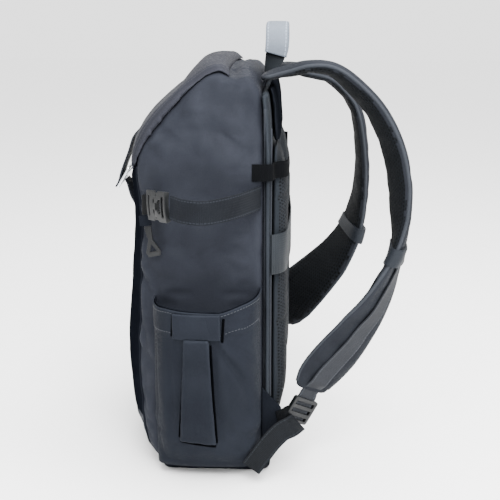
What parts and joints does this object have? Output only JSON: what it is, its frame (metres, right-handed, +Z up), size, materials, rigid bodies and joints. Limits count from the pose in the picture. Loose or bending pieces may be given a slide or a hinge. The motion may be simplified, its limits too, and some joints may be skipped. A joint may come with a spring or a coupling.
{
  "type": "camera backpack",
  "caption": "Upright padded camera backpack with a rolled top flap, an open side pocket and strap for a tripod, a top handle and curved shoulder straps.",
  "frame": {"origin": "centre of the flat underside of the base panel, on the surface that the bag stands on", "axes": "+Z up, -Y towards the outer front face, +Y towards the wearer's back, +X towards the side with the pocket, which is the wearer's right"},
  "size_m": [0.3558, 0.3397, 0.4913],
  "materials": {
    "bag_cloth": "woven, matt",
    "black_webbing": "flat woven webbing",
    "bright_metal": "polished",
    "dark_cloth": "woven, matt",
    "grip_cloth": "smooth coated cloth",
    "moulded_plastic": "satin",
    "pocket_cloth": "woven, matt",
    "spacer_mesh": "open knitted mesh",
    "webbing": "flat woven webbing"
  },
  "bodies": {
    "root": {"anchor_webbing_left": "black_webbing", "anchor_webbing_right": "black_webbing", "back_pad_left": "spacer_mesh", "back_pad_right": "spacer_mesh", "back_panel": "dark_cloth", "base_panel": "dark_cloth", "body_shell": "bag_cloth", "buckle_frame": "moulded_plastic", "buckle_tongue": "moulded_plastic", "buckle_webbing": "webbing", "closure_hook": "bright_metal", "closure_patch": "webbing", "closure_tab": "webbing", "closure_webbing": "webbing", "flap": "bag_cloth", "handle_grip": "grip_cloth", "handle_webbing": "black_webbing", "keeper_left": "webbing", "keeper_right": "webbing", "ladder_lock_left": "moulded_plastic", "ladder_lock_right": "moulded_plastic", "loose_tail_left": "webbing", "loose_tail_right": "webbing", "pocket_binding": "dark_cloth", "pocket_crossbar": "pocket_cloth", "pocket_sleeve": "pocket_cloth", "shoulder_strap_left": "bag_cloth", "shoulder_strap_right": "bag_cloth", "side_band_left": "black_webbing", "side_band_right": "black_webbing", "side_pocket": "pocket_cloth", "strap_tail": "webbing", "strap_webbing_left": "webbing", "strap_webbing_right": "webbing", "tri_glide": "moulded_plastic", "tripod_strap": "webbing", "trolley_band": "webbing", "wing_left": "dark_cloth", "wing_right": "dark_cloth", "yoke": "dark_cloth"}
  },
  "joints": []
}
